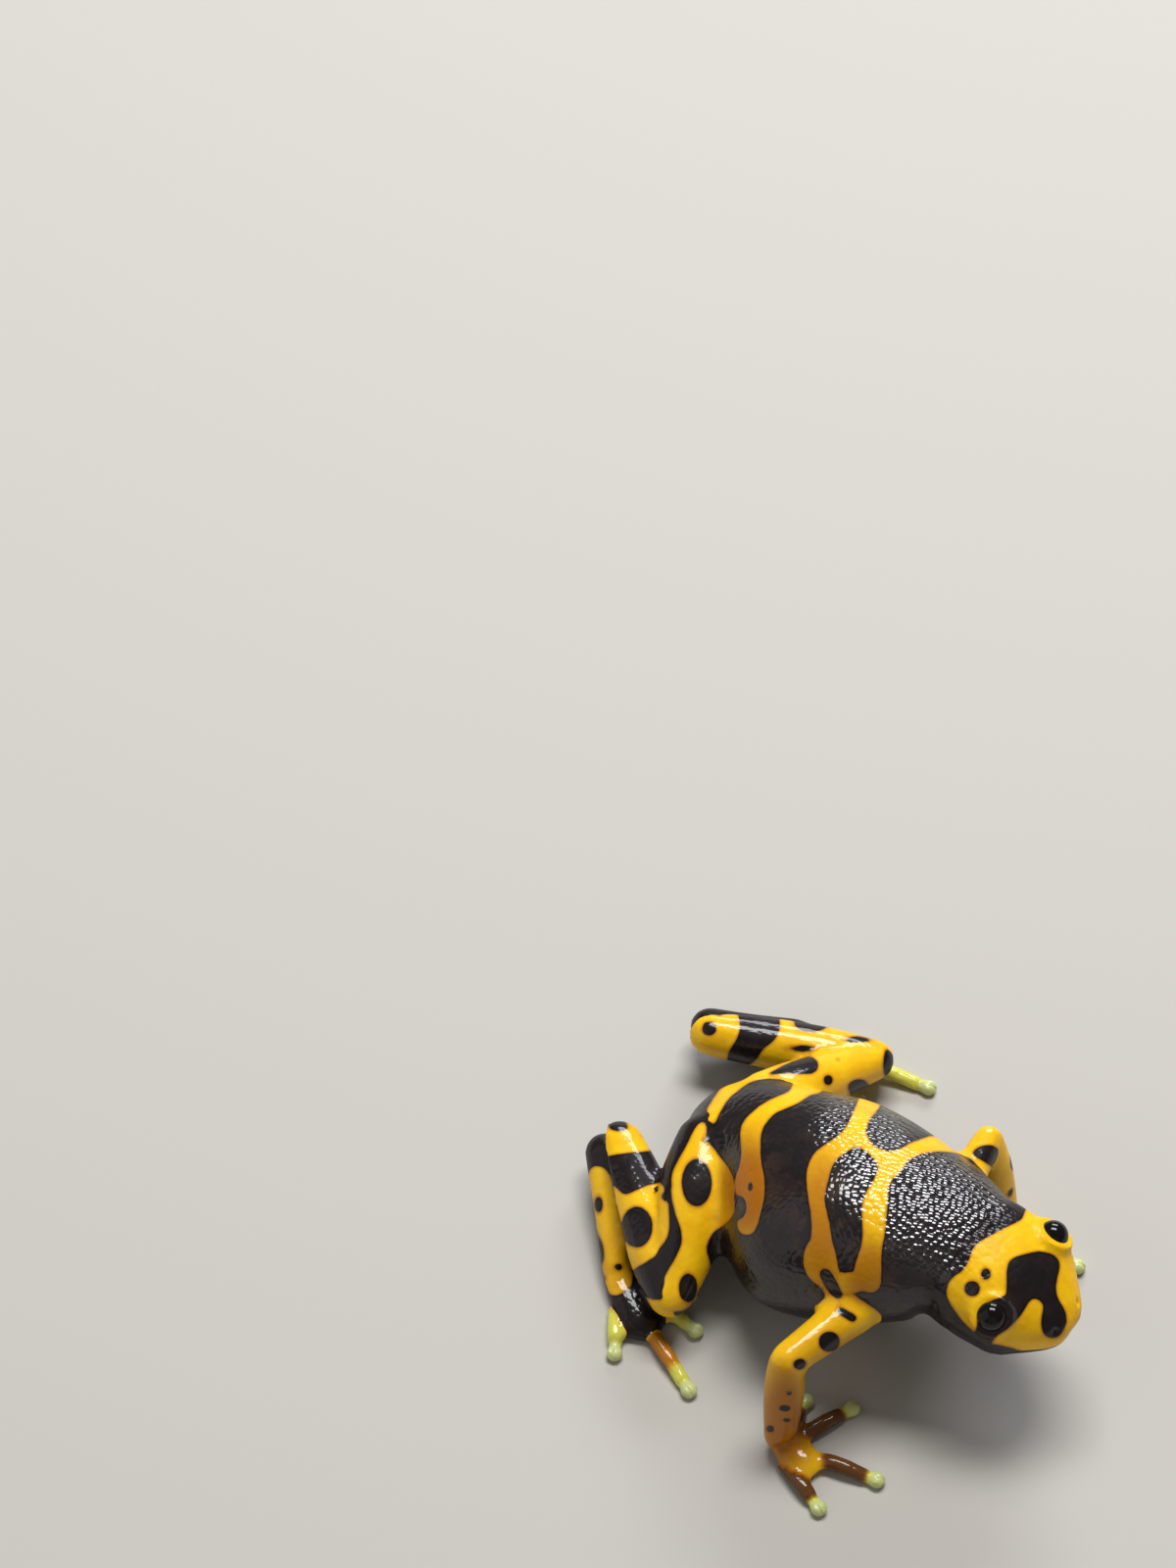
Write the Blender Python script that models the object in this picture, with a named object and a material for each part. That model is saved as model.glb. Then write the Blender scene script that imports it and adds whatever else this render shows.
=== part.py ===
"""A yellow-banded poison dart frog, life size, standing still on its four feet.

The frog faces -Y, its left side is +X, and +Z is up. It is shaped in millimetres and scaled to metres
in the last step. Each piece of the body is one closed solid, parted from the next by a thin gap.
"""

import math

import bmesh
import bpy
from mathutils import Matrix, Vector

MM = 0.001
GAP = 0.3
FLOOR = 0.0

# Joints of the skeleton, in millimetres, for a body 36 mm from snout to vent.
HIP_HALF_SPACING = 2.7
HIP_Y = 12.8
HIP_Z = 6.7
SHOULDER = {"right": Vector((-3.4, -5.0, 9.2)), "left": Vector((4.4, -4.0, 9.2))}
KNEE = {"right": Vector((-12.0, 7.2, 4.0)), "left": Vector((12.8, 10.8, 3.2))}
HEEL = {"right": Vector((-6.1, 18.6, 3.7)), "left": Vector((5.6, 20.9, 3.6))}
ANKLE = {"right": Vector((-12.6, 12.3, 1.15)), "left": Vector((11.5, 17.3, 1.15))}
ELBOW = {"right": Vector((-12.0, -4.2, 8.9)), "left": Vector((11.2, -1.8, 9.1))}
WRIST = {"right": Vector((-13.7, -5.5, 1.7)), "left": Vector((10.8, -4.2, 1.7))}

# The ankle bones lie beside and below the heel of the shank, not in line with it.
TARSUS_FROM_HEEL = Vector((0.75, 0.75, -0.9))

SIDES = {"right": -1.0, "left": 1.0}

# Radii of each limb piece, from its inner end to its outer end. The right leg is folded tight, so
# its muscles bulge, and the left thigh is stretched slim.
THIGH_RADII = {"right": (2.6, 3.05, 2.5, 1.75), "left": (2.2, 2.2, 1.75, 1.45)}
SHANK_RADII = {"right": (1.9, 2.35, 2.25, 1.95), "left": (1.6, 1.95, 1.9, 1.7)}
TARSUS_RADII = (1.5, 1.2, 1.05)
UPPER_ARM_RADII = {"right": (1.95, 1.55, 1.3), "left": (1.8, 1.4, 1.1)}
FOREARM_RADII = {"right": (1.3, 1.5, 1.2), "left": (1.1, 1.4, 1.2)}
LEG_SIDES = 16
ARM_SIDES = 14
PAD_SIDES = 12

# The trunk, from vent to neck: place on the spine, half width, top and underside.
TRUNK_SECTIONS = (
    # x, y, half width, top z, underside z
    (0.1, 16.1, 1.7, 6.5, 3.9),
    (0.2, 15.0, 3.2, 8.0, 3.0),
    (0.4, 13.1, 4.1, 9.8, 2.3),
    (0.5, 10.0, 5.3, 11.7, 1.7),
    (0.0, 6.0, 7.8, 13.7, 1.1),
    (-0.3, 2.0, 8.8, 14.9, 1.1),
    (0.4, -2.0, 8.1, 15.3, 2.2),
    (1.3, -5.6, 6.9, 15.3, 4.5),
    (2.3, -9.2, 4.9, 14.6, 7.2),
)
TRUNK_SIDES = 28
TRUNK_RINGS = 22
TRUNK_SQUARENESS = 2.15

# The head, along its own axis from the neck to the snout.
HEAD_ROOT = Vector((2.3, -7.5, 10.9))
HEAD_TURN_DEG = 10.0
HEAD_DIP_DEG = 9.0
HEAD_SECTIONS = (
    # distance ahead of the neck, half width, top, underside
    (0.0, 4.9, 3.9, -4.0),
    (1.5, 5.05, 3.95, -4.0),
    (3.0, 5.1, 3.95, -3.8),
    (4.4, 4.98, 3.75, -3.5),
    (5.7, 4.85, 3.25, -3.15),
    (6.9, 4.15, 2.65, -2.75),
    (8.1, 3.25, 2.0, -2.35),
    (9.0, 2.35, 1.35, -1.8),
    (9.45, 1.4, 0.75, -1.3),
)
HEAD_RINGS = 18
HEAD_SIDES = 28
HEAD_SQUARENESS = 2.6

MOUTH_DROP = 1.0
MOUTH_CORNER_AHEAD = 2.6
EYE_RADIUS = 1.1
EYE_AHEAD = 4.6
EYE_HALF_SPACING = 3.95
EYE_UP = 2.55
LID_RADIUS = 1.65
LID_EDGE = 0.3
LID_SETBACK = 0.15
# Places on the left of the head, in its own coordinates: left, ahead, up.
EYE_LOOK = Vector((0.58, 0.10, 0.80))
EAR = Vector((4.65, 1.6, 0.35))
EAR_RADII = (0.62, 1.15, 1.15)
NOSTRIL = Vector((1.75, 8.75, 1.25))
NOSTRIL_RADIUS = 0.32
JAW_ROOM = Vector((7.0, 6.0, 4.0))

# Digits are slim rods, a little flattened, that rise off the pad to a knuckle and end in a disc.
DIGIT_SIDES = 8
DIGIT_RADIUS = 0.5
DIGIT_FLATNESS = 0.85
DISC_RADIUS = 0.7
DIGIT_ROOT_HEIGHT = 0.55
DIGIT_TIP_HEIGHT = 0.42
KNUCKLE_RISE = 0.28
ROOT_SINK = 0.9
# Direction off the foot's own line in degrees, free length, and root across and along the sole.
TOES = {
    "right": (
        ("toe_1", -66.0, 2.3, -1.35, 1.1),
        ("toe_2", -46.0, 2.6, -1.50, 2.2),
        ("toe_3", -25.0, 3.5, -1.20, 3.4),
        ("toe_4", -3.0, 6.6, 0.0, 4.0),
        ("toe_5", 29.0, 2.5, 1.30, 3.4),
    ),
    "left": (
        ("toe_1", -66.0, 2.1, -1.35, 1.1),
        ("toe_2", -42.0, 2.5, -1.50, 2.2),
        ("toe_3", -19.0, 3.3, -1.20, 3.4),
        ("toe_4", 8.0, 6.5, 0.0, 4.0),
        ("toe_5", 16.0, 1.6, 1.30, 3.4),
    ),
}
SOLE_LENGTH = 4.0
SOLE_RADII = (1.1, 1.45, 1.75)
SOLE_FLATNESS = 0.52
SOLE_TIP_HEIGHT = 0.62
# The foot's line on the floor, as an angle from -Y towards the frog's own left.
FOOT_LINE_DEG = {"right": -17.0, "left": 15.5}

FINGERS = {
    "right": (
        ("finger_1", -98.0, 1.9, -1.00, 0.5),
        ("finger_2", -74.0, 3.7, -1.10, 1.7),
        ("finger_3", -20.0, 5.0, -0.35, 2.4),
        ("finger_4", 14.0, 3.4, 1.00, 2.1),
    ),
    "left": (
        ("finger_1", -98.0, 1.9, -1.00, 0.5),
        ("finger_2", -74.0, 3.6, -1.10, 1.7),
        ("finger_3", -20.0, 4.8, -0.35, 2.4),
        ("finger_4", 34.0, 4.0, 1.00, 2.1),
    ),
}
PALM_LENGTH = 2.3
PALM_RADII = (1.0, 1.25, 1.35)
PALM_FLATNESS = 0.55
PALM_HEEL_HEIGHT = 0.85
PALM_TIP_HEIGHT = 0.6
HAND_LINE_DEG = {"right": 4.0, "left": -24.0}

COLOURS = {
    "skin_black": ((0.016, 0.011, 0.013, 1.0), 0.35),
    "skin_yellow": ((0.90, 0.50, 0.01, 1.0), 0.35),
    "digit_pale": ((0.75, 0.74, 0.16, 1.0), 0.40),
    "eye_black": ((0.008, 0.006, 0.006, 1.0), 0.05),
}


def clear_scene():
    for old in list(bpy.data.objects):
        bpy.data.objects.remove(old, do_unlink=True)


def make_material(name):
    colour, roughness = COLOURS[name]
    material = bpy.data.materials.new(name)
    material.use_nodes = True
    shader = material.node_tree.nodes["Principled BSDF"]
    shader.inputs["Base Color"].default_value = colour
    shader.inputs["Roughness"].default_value = roughness
    shader.inputs["Metallic"].default_value = 0.0
    return material


def add_object(name, shape, material=None):
    """Turns a bmesh into a named object with smooth shading."""
    bmesh.ops.recalc_face_normals(shape, faces=shape.faces)
    mesh = bpy.data.meshes.new(name)
    shape.to_mesh(mesh)
    shape.free()
    mesh.shade_smooth()
    made = bpy.data.objects.new(name, mesh)
    bpy.context.scene.collection.objects.link(made)
    if material is not None:
        mesh.materials.append(material)
    return made


def between(rows, where):
    """Row of values at a place from 0 to 1 along rows, on a smooth curve through them."""
    place = where * (len(rows) - 1)
    low = min(int(place), len(rows) - 2)
    t = place - low
    before, start, end, after = (
        rows[max(low - 1, 0)],
        rows[low],
        rows[low + 1],
        rows[min(low + 2, len(rows) - 1)],
    )
    return [
        0.5 * (2 * b + (c - a) * t + (2 * a - 5 * b + 4 * c - d) * t**2 + (3 * b - a - 3 * c + d) * t**3)
        for a, b, c, d in zip(before, start, end, after)
    ]


def squircle(angle, squareness):
    """Point on a rounded square of half width 1."""
    cosine, sine = math.cos(angle), math.sin(angle)
    power = 2.0 / squareness
    return (
        math.copysign(abs(cosine) ** power, cosine),
        math.copysign(abs(sine) ** power, sine),
    )


def skin_rings(rings):
    """Closed bmesh through rings of points, with a flat cap at each end."""
    shape = bmesh.new()
    rows = [[shape.verts.new(point) for point in ring] for ring in rings]
    count = len(rows[0])
    for near, far in zip(rows, rows[1:]):
        for i in range(count):
            j = (i + 1) % count
            shape.faces.new((near[i], near[j], far[j], far[i]))
    shape.faces.new(rows[0][::-1])
    shape.faces.new(rows[-1])
    return shape


def trunk_shape(grow=0.0):
    """The trunk, with every section grown outwards by a distance, as a cutter needs."""
    rings = []
    for i in range(TRUNK_RINGS + 1):
        x, y, half_width, top, underside = between(TRUNK_SECTIONS, i / TRUNK_RINGS)
        middle = 0.55 * underside + 0.45 * top
        ring = []
        for k in range(TRUNK_SIDES):
            across, up = squircle(2 * math.pi * k / TRUNK_SIDES, TRUNK_SQUARENESS)
            height = (top - middle if up > 0 else middle - underside) + grow
            ring.append(Vector((x + across * (half_width + grow), y, middle + up * height)))
        rings.append(ring)
    for point in rings[0]:
        point.y += grow
    return skin_rings(rings)


def head_frame():
    """Matrix from head coordinates (left, ahead, up) to the frog's."""
    turn = math.radians(HEAD_TURN_DEG)
    dip = math.radians(HEAD_DIP_DEG)
    left = Vector((math.cos(turn), math.sin(turn), 0.0))
    level = Vector((math.sin(turn), -math.cos(turn), 0.0))
    ahead = level * math.cos(dip) - Vector((0, 0, math.sin(dip)))
    up = level * math.sin(dip) + Vector((0, 0, math.cos(dip)))
    frame = Matrix((left, ahead, up)).transposed().to_4x4()
    frame.translation = HEAD_ROOT
    return frame


def head_shape():
    rings = []
    frame = head_frame()
    for i in range(HEAD_RINGS + 1):
        ahead, half_width, top, underside = between(HEAD_SECTIONS, i / HEAD_RINGS)
        ring = []
        for k in range(HEAD_SIDES):
            across, up = squircle(2 * math.pi * k / HEAD_SIDES, HEAD_SQUARENESS)
            height = top if up > 0 else -underside
            ring.append(frame @ Vector((across * half_width, ahead, up * height)))
        rings.append(ring)
    return skin_rings(rings)


def ball(centre, radii, turn=None, segments=16, rings=10):
    """Ellipsoid about a centre, turned by a matrix."""
    shape = bmesh.new()
    matrix = Matrix.Translation(centre) @ (turn or Matrix.Identity(4)) @ Matrix.Diagonal((*radii, 1.0))
    bmesh.ops.create_uvsphere(shape, u_segments=segments, v_segments=rings, radius=1.0, matrix=matrix)
    return shape


def block(centre, half_sizes, turn=None):
    shape = bmesh.new()
    matrix = Matrix.Translation(centre) @ (turn or Matrix.Identity(4)) @ Matrix.Diagonal((*half_sizes, 1.0))
    bmesh.ops.create_cube(shape, size=2.0, matrix=matrix)
    return shape


def keep_side(made, point, normal):
    """Cuts an object with a plane and keeps what lies along the normal, with the cut closed."""
    shape = bmesh.new()
    shape.from_mesh(made.data)
    geometry = shape.verts[:] + shape.edges[:] + shape.faces[:]
    bmesh.ops.bisect_plane(
        shape, geom=geometry, dist=1e-5, plane_co=point, plane_no=normal, clear_inner=True
    )
    rim = [edge for edge in shape.edges if edge.is_boundary]
    if rim:
        bmesh.ops.contextual_create(shape, geom=rim)
    bmesh.ops.recalc_face_normals(shape, faces=shape.faces)
    shape.to_mesh(made.data)
    shape.free()
    made.data.shade_smooth()


def apply_boolean(made, others, operation):
    """Joins or cuts an object with closed helper objects, applies the result and removes the helpers."""
    helpers = bpy.data.collections.new("helpers")
    bpy.context.scene.collection.children.link(helpers)
    for other in others:
        bpy.context.scene.collection.objects.unlink(other)
        helpers.objects.link(other)
    boolean = made.modifiers.new("boolean", "BOOLEAN")
    boolean.operation = operation
    boolean.operand_type = "COLLECTION"
    boolean.collection = helpers
    boolean.solver = "EXACT"
    graph = bpy.context.evaluated_depsgraph_get()
    result = bpy.data.meshes.new_from_object(made.evaluated_get(graph))
    made.modifiers.clear()
    made.data = result
    for other in others:
        bpy.data.objects.remove(other, do_unlink=True)
    bpy.data.collections.remove(helpers)
    keep_largest(made)


def keep_largest(made):
    """Keeps only the largest closed surface of an object."""
    shape = bmesh.new()
    shape.from_mesh(made.data)
    left = set(shape.verts)
    groups = []
    while left:
        start = left.pop()
        group, to_visit = {start}, [start]
        while to_visit:
            for edge in to_visit.pop().link_edges:
                for vert in edge.verts:
                    if vert in left:
                        left.remove(vert)
                        group.add(vert)
                        to_visit.append(vert)
        groups.append(group)
    groups.sort(key=len)
    loose = [vert for group in groups[:-1] for vert in group]
    bmesh.ops.delete(shape, geom=loose, context="VERTS")
    bmesh.ops.recalc_face_normals(shape, faces=shape.faces)
    shape.to_mesh(made.data)
    shape.free()
    made.data.shade_smooth()


def tube(points, radii, sides, rings, flatness=1.0, dome=(True, True)):
    """Closed tube along a smooth path, with a radius that changes along it and domed ends.

    flatness is the upright radius over the sideways one.
    """
    rows = [[*point, radius] for point, radius in zip(points, radii)]
    stations = []
    for i in range(rings + 1):
        x, y, z, radius = between(rows, i / rings)
        stations.append((Vector((x, y, z)), radius))
    centres = [centre for centre, _ in stations]
    tangents = [
        (centres[min(i + 1, rings)] - centres[max(i - 1, 0)]).normalized() for i in range(rings + 1)
    ]
    dome_steps = (0.94, 0.72, 0.38)
    line = [(centre, radius, tangent) for (centre, radius), tangent in zip(stations, tangents)]
    if dome[0]:
        centre, radius, tangent = line[0]
        head = [(centre - tangent * radius * s, radius * math.sqrt(1 - s * s), tangent) for s in dome_steps]
        line = head + line
    if dome[1]:
        centre, radius, tangent = line[-1]
        tail = [(centre + tangent * radius * s, radius * math.sqrt(1 - s * s), tangent) for s in dome_steps]
        line = line + tail[::-1]
    rings_made = []
    side = None
    for centre, radius, tangent in line:
        if side is None:
            reference = Vector((0, 0, 1)) if abs(tangent.z) < 0.8 else Vector((0, -1, 0))
            side = tangent.cross(reference).normalized()
        side = (side - tangent * side.dot(tangent)).normalized()
        up = side.cross(tangent).normalized()
        rings_made.append(
            [
                centre
                + side * radius * math.cos(2 * math.pi * k / sides)
                + up * radius * flatness * math.sin(2 * math.pi * k / sides)
                for k in range(sides)
            ]
        )
    return skin_rings(rings_made)


def part_at_joint(near, far, joint, near_end, far_end):
    """Cuts two limb pieces apart at their joint, on the plane midway between them."""
    normal = ((near_end - joint).normalized() - (far_end - joint).normalized()).normalized()
    keep_side(near, joint + normal * GAP / 2, normal)
    keep_side(far, joint - normal * GAP / 2, -normal)


def rest_on_floor(made):
    """Gives a piece that touches the floor its small flat."""
    lowest = min(vertex.co.z for vertex in made.data.vertices)
    if lowest < FLOOR:
        keep_side(made, Vector((0, 0, FLOOR)), Vector((0, 0, 1)))


def on_floor(start, angle_deg, along, across, height):
    """Point on the floor ahead of a wrist or an ankle, on a line turned from -Y."""
    angle = math.radians(angle_deg)
    ahead = Vector((math.sin(angle), -math.cos(angle), 0))
    left = Vector((math.cos(angle), math.sin(angle), 0))
    point = start + ahead * along + left * across
    return Vector((point.x, point.y, height))


def make_trunk(materials):
    return add_object("torso", trunk_shape(), materials["skin_black"])


def on_side(side, place):
    """A place on the left of the head, or its mirror image on the right."""
    return Vector((SIDES[side] * place.x, place.y, place.z))


def make_head(materials):
    """Head with lids, ear discs and nostrils, the lower jaw, and two eyes in their sockets."""
    frame = head_frame()
    turn = frame.to_3x3().to_4x4()
    head = add_object("head", head_shape(), materials["skin_yellow"])
    eyes = {side: on_side(side, Vector((EYE_HALF_SPACING, EYE_AHEAD, EYE_UP))) for side in SIDES}

    lids = []
    for side, centre in eyes.items():
        axis = on_side(side, EYE_LOOK).normalized()
        lid_centre = frame @ (centre - axis * LID_SETBACK)
        lid = add_object("lid", ball(lid_centre, (LID_RADIUS,) * 3, turn, 20, 12))
        keep_side(lid, frame @ (centre + axis * LID_EDGE), turn.to_3x3() @ -axis)
        lids.append(lid)
        lids.append(add_object("ear", ball(frame @ on_side(side, EAR), EAR_RADII, turn, 14, 8)))
    apply_boolean(head, lids, "UNION")

    jaw_place = frame @ Vector((0, MOUTH_CORNER_AHEAD + JAW_ROOM.y, -MOUTH_DROP - JAW_ROOM.z))
    jaw = add_object("lower_jaw", head_shape(), materials["skin_black"])
    jaw_block = add_object("jaw_block", block(jaw_place, JAW_ROOM, turn))
    apply_boolean(jaw, [jaw_block], "INTERSECT")

    cutters = [add_object("jaw_gap", block(jaw_place, [size + GAP for size in JAW_ROOM], turn))]
    for side, centre in eyes.items():
        socket = (EYE_RADIUS + GAP,) * 3
        cutters.append(add_object("socket", ball(frame @ centre, socket, turn, 20, 12)))
        nostril = frame @ on_side(side, NOSTRIL)
        cutters.append(add_object("nostril", ball(nostril, (NOSTRIL_RADIUS,) * 3, turn, 8, 6)))
    apply_boolean(head, cutters, "DIFFERENCE")

    made = {"head": head, "lower_jaw": jaw}
    for side, centre in eyes.items():
        name = f"eye_{side}"
        made[name] = add_object(name, ball(frame @ centre, (EYE_RADIUS,) * 3, turn), materials["eye_black"])
    return made


def trunk_cutter():
    return add_object("cutter", trunk_shape(GAP))


def make_leg(side, materials):
    """Thigh, shank, ankle and sole of one hind leg, folded into a Z."""
    sign = SIDES[side]
    hip = Vector((sign * HIP_HALF_SPACING, HIP_Y, HIP_Z))
    knee, heel, ankle = KNEE[side], HEEL[side], ANKLE[side]
    tarsus_start = heel + on_side(side, TARSUS_FROM_HEEL)
    yellow = materials["skin_yellow"]

    thigh = add_object(
        f"thigh_{side}",
        tube([hip, hip.lerp(knee, 0.33), hip.lerp(knee, 0.7), knee], THIGH_RADII[side], LEG_SIDES, 9),
        yellow,
    )
    shank = add_object(
        f"shank_{side}",
        tube([knee, knee.lerp(heel, 0.3), knee.lerp(heel, 0.72), heel], SHANK_RADII[side], LEG_SIDES, 9),
        yellow,
    )
    tarsus = add_object(
        f"ankle_{side}",
        tube([tarsus_start, tarsus_start.lerp(ankle, 0.5), ankle], TARSUS_RADII, PAD_SIDES, 6),
        yellow,
    )
    apply_boolean(thigh, [trunk_cutter()], "DIFFERENCE")
    part_at_joint(thigh, shank, knee, hip, heel)
    part_at_joint(shank, tarsus, heel, knee, ankle)

    line = FOOT_LINE_DEG[side]
    tip = on_floor(ankle, line, SOLE_LENGTH, 0, SOLE_TIP_HEIGHT)
    sole = add_object(
        f"foot_{side}",
        tube([ankle, ankle.lerp(tip, 0.5), tip], SOLE_RADII, PAD_SIDES, 5, SOLE_FLATNESS),
        yellow,
    )
    part_at_joint(tarsus, sole, ankle, heel, tip)
    return {item.name: item for item in (thigh, shank, tarsus, sole)}


def make_arm(side, materials):
    """Upper arm, forearm and palm of one front leg."""
    shoulder, elbow, wrist = SHOULDER[side], ELBOW[side], WRIST[side]
    yellow = materials["skin_yellow"]

    upper = add_object(
        f"upper_arm_{side}",
        tube([shoulder, shoulder.lerp(elbow, 0.5), elbow], UPPER_ARM_RADII[side], ARM_SIDES, 7),
        yellow,
    )
    lower = add_object(
        f"forearm_{side}",
        tube([elbow, elbow.lerp(wrist, 0.4), wrist], FOREARM_RADII[side], ARM_SIDES, 7),
        yellow,
    )
    apply_boolean(upper, [trunk_cutter()], "DIFFERENCE")
    part_at_joint(upper, lower, elbow, shoulder, wrist)

    line = HAND_LINE_DEG[side]
    heel_of_hand = Vector((wrist.x, wrist.y, PALM_HEEL_HEIGHT))
    tip = on_floor(wrist, line, PALM_LENGTH, 0, PALM_TIP_HEIGHT)
    palm = add_object(
        f"hand_{side}",
        tube([heel_of_hand, heel_of_hand.lerp(tip, 0.5), tip], PALM_RADII, PAD_SIDES, 4, PALM_FLATNESS),
        yellow,
    )
    part_at_joint(lower, palm, wrist.lerp(heel_of_hand, 0.5), elbow, tip)
    return {item.name: item for item in (upper, lower, palm)}


def make_digits(side, pads, plan, root, line, material):
    """Fingers or toes, each a slim rod that swells to a disc, cut off at the pads that it grows from."""
    sign = SIDES[side]
    made = {}
    for name, angle, length, across, along in plan:
        # The inner digit is first, and lies towards the frog's middle.
        start = on_floor(root, line, along - ROOT_SINK, sign * across, DIGIT_ROOT_HEIGHT)
        turned = line + sign * angle
        tip = on_floor(start, turned, length + ROOT_SINK, 0, DIGIT_TIP_HEIGHT)
        knuckle = start.lerp(tip, 0.55) + Vector((0, 0, KNUCKLE_RISE))
        radii = (DIGIT_RADIUS, DIGIT_RADIUS * 0.96, DIGIT_RADIUS * 0.9, DISC_RADIUS)
        path = [start, knuckle, start.lerp(tip, 0.86), tip]
        rod = tube(path, radii, DIGIT_SIDES, 8, DIGIT_FLATNESS)
        digit = add_object(f"{name}_{side}", rod, material)
        for pad in pads:
            apply_boolean(digit, [grown_copy(pad, GAP)], "DIFFERENCE")
        made[digit.name] = digit
    return made


def grown_copy(source, grow):
    """Cutter that stands a little proud of a piece."""
    shape = bmesh.new()
    shape.from_mesh(source.data)
    bmesh.ops.recalc_face_normals(shape, faces=shape.faces)
    shape.normal_update()
    moved = [(vert, vert.normal * grow) for vert in shape.verts]
    for vert, step in moved:
        vert.co += step
    return add_object("cutter", shape)


def centre_on_floor(made):
    """Moves the frog so that the middle of its footprint is the origin."""
    points = [vertex.co for item in made.values() for vertex in item.data.vertices]
    low = Vector([min(point[i] for point in points) for i in range(3)])
    high = Vector([max(point[i] for point in points) for i in range(3)])
    shift = Vector((-(low.x + high.x) / 2, -(low.y + high.y) / 2, -low.z))
    for item in made.values():
        item.data.transform(Matrix.Scale(MM, 4) @ Matrix.Translation(shift))


def build():
    clear_scene()
    materials = {name: make_material(name) for name in COLOURS}
    made = {"torso": make_trunk(materials)}

    made.update(make_head(materials))
    frame = head_frame()
    neck_normal = frame.to_3x3() @ Vector((0, 1, 0))
    keep_side(made["head"], HEAD_ROOT + neck_normal * GAP / 2, neck_normal)
    keep_side(made["torso"], HEAD_ROOT - neck_normal * GAP / 2, -neck_normal)

    for side in SIDES:
        made.update(make_leg(side, materials))
        made.update(make_arm(side, materials))
        pale = materials["digit_pale"]
        foot = (made[f"foot_{side}"], made[f"ankle_{side}"])
        hand = (made[f"hand_{side}"],)
        made.update(make_digits(side, foot, TOES[side], ANKLE[side], FOOT_LINE_DEG[side], pale))
        made.update(make_digits(side, hand, FINGERS[side], WRIST[side], HAND_LINE_DEG[side], pale))
    for item in made.values():
        rest_on_floor(item)
    centre_on_floor(made)


build()
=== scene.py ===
"""Looks of a life-size museum model of a yellow-banded poison dart frog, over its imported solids."""
import math

import bmesh
import bpy
import numpy as np
from mathutils import Matrix, Vector
from mathutils.bvhtree import BVHTree


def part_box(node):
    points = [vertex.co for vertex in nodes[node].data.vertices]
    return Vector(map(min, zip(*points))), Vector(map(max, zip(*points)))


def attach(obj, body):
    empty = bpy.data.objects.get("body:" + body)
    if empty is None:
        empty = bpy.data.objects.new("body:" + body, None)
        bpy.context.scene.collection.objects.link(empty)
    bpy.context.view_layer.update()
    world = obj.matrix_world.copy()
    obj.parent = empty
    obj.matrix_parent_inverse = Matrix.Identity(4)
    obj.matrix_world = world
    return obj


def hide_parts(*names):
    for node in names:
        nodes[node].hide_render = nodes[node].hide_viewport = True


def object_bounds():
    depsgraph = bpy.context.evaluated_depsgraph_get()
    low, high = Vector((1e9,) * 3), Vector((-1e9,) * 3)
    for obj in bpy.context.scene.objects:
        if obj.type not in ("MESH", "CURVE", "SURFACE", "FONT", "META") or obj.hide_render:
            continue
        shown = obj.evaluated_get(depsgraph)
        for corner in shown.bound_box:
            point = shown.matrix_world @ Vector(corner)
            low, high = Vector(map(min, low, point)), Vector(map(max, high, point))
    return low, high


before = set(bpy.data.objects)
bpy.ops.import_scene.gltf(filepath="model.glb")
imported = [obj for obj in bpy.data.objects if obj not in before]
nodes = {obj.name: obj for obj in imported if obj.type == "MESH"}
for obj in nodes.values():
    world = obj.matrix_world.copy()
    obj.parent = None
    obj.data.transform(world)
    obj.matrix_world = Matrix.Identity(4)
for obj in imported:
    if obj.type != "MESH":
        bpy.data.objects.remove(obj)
cad_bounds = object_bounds()

# Camera. It stands at the frog's right front and looks steeply down from 0.4 m. The floor under the
# middle of the back, which the camera is aimed by, is a fixed way from the left eye.
MM = 0.001
FRAME_WIDTH = 1200
FRAME_HEIGHT = 1600
SENSOR = 36.0
FOCAL_PIXELS = 5600.0
NEAREST_SEEN = 0.01
CAMERA_DISTANCE = 0.400
CAMERA_AZIMUTH = math.radians(-44.3)
CAMERA_ELEVATION = math.radians(56.0)
AIM_PIXEL = Vector((875.0, 1306.0))
LEFT_EYE_FROM_AIM = Vector((7.048, -11.682, 12.699)) * MM


def middle_of(node):
    low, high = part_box(node)
    return (low + high) / 2


aim = middle_of("eye_left") - LEFT_EYE_FROM_AIM
level_out = Vector((math.sin(CAMERA_AZIMUTH), -math.cos(CAMERA_AZIMUTH), 0))
camera_back = level_out * math.cos(CAMERA_ELEVATION) + Vector((0, 0, math.sin(CAMERA_ELEVATION)))
camera_right = Vector((math.cos(CAMERA_AZIMUTH), math.sin(CAMERA_AZIMUTH), 0))
camera_up = camera_back.cross(camera_right)
beside = (AIM_PIXEL.x - FRAME_WIDTH / 2) / FOCAL_PIXELS * CAMERA_DISTANCE
above = (FRAME_HEIGHT / 2 - AIM_PIXEL.y) / FOCAL_PIXELS * CAMERA_DISTANCE
camera_place = aim + camera_back * CAMERA_DISTANCE - camera_right * beside - camera_up * above

camera_data = bpy.data.cameras.new("camera")
camera_data.sensor_width = SENSOR
camera_data.lens = FOCAL_PIXELS * SENSOR / FRAME_HEIGHT
camera_data.clip_start = NEAREST_SEEN
camera = bpy.data.objects.new("camera", camera_data)
camera.matrix_world = Matrix.Translation(camera_place) @ Matrix(
    (camera_right, camera_up, camera_back)
).transposed().to_4x4()
bpy.context.scene.collection.objects.link(camera)
bpy.context.scene.camera = camera


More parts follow.
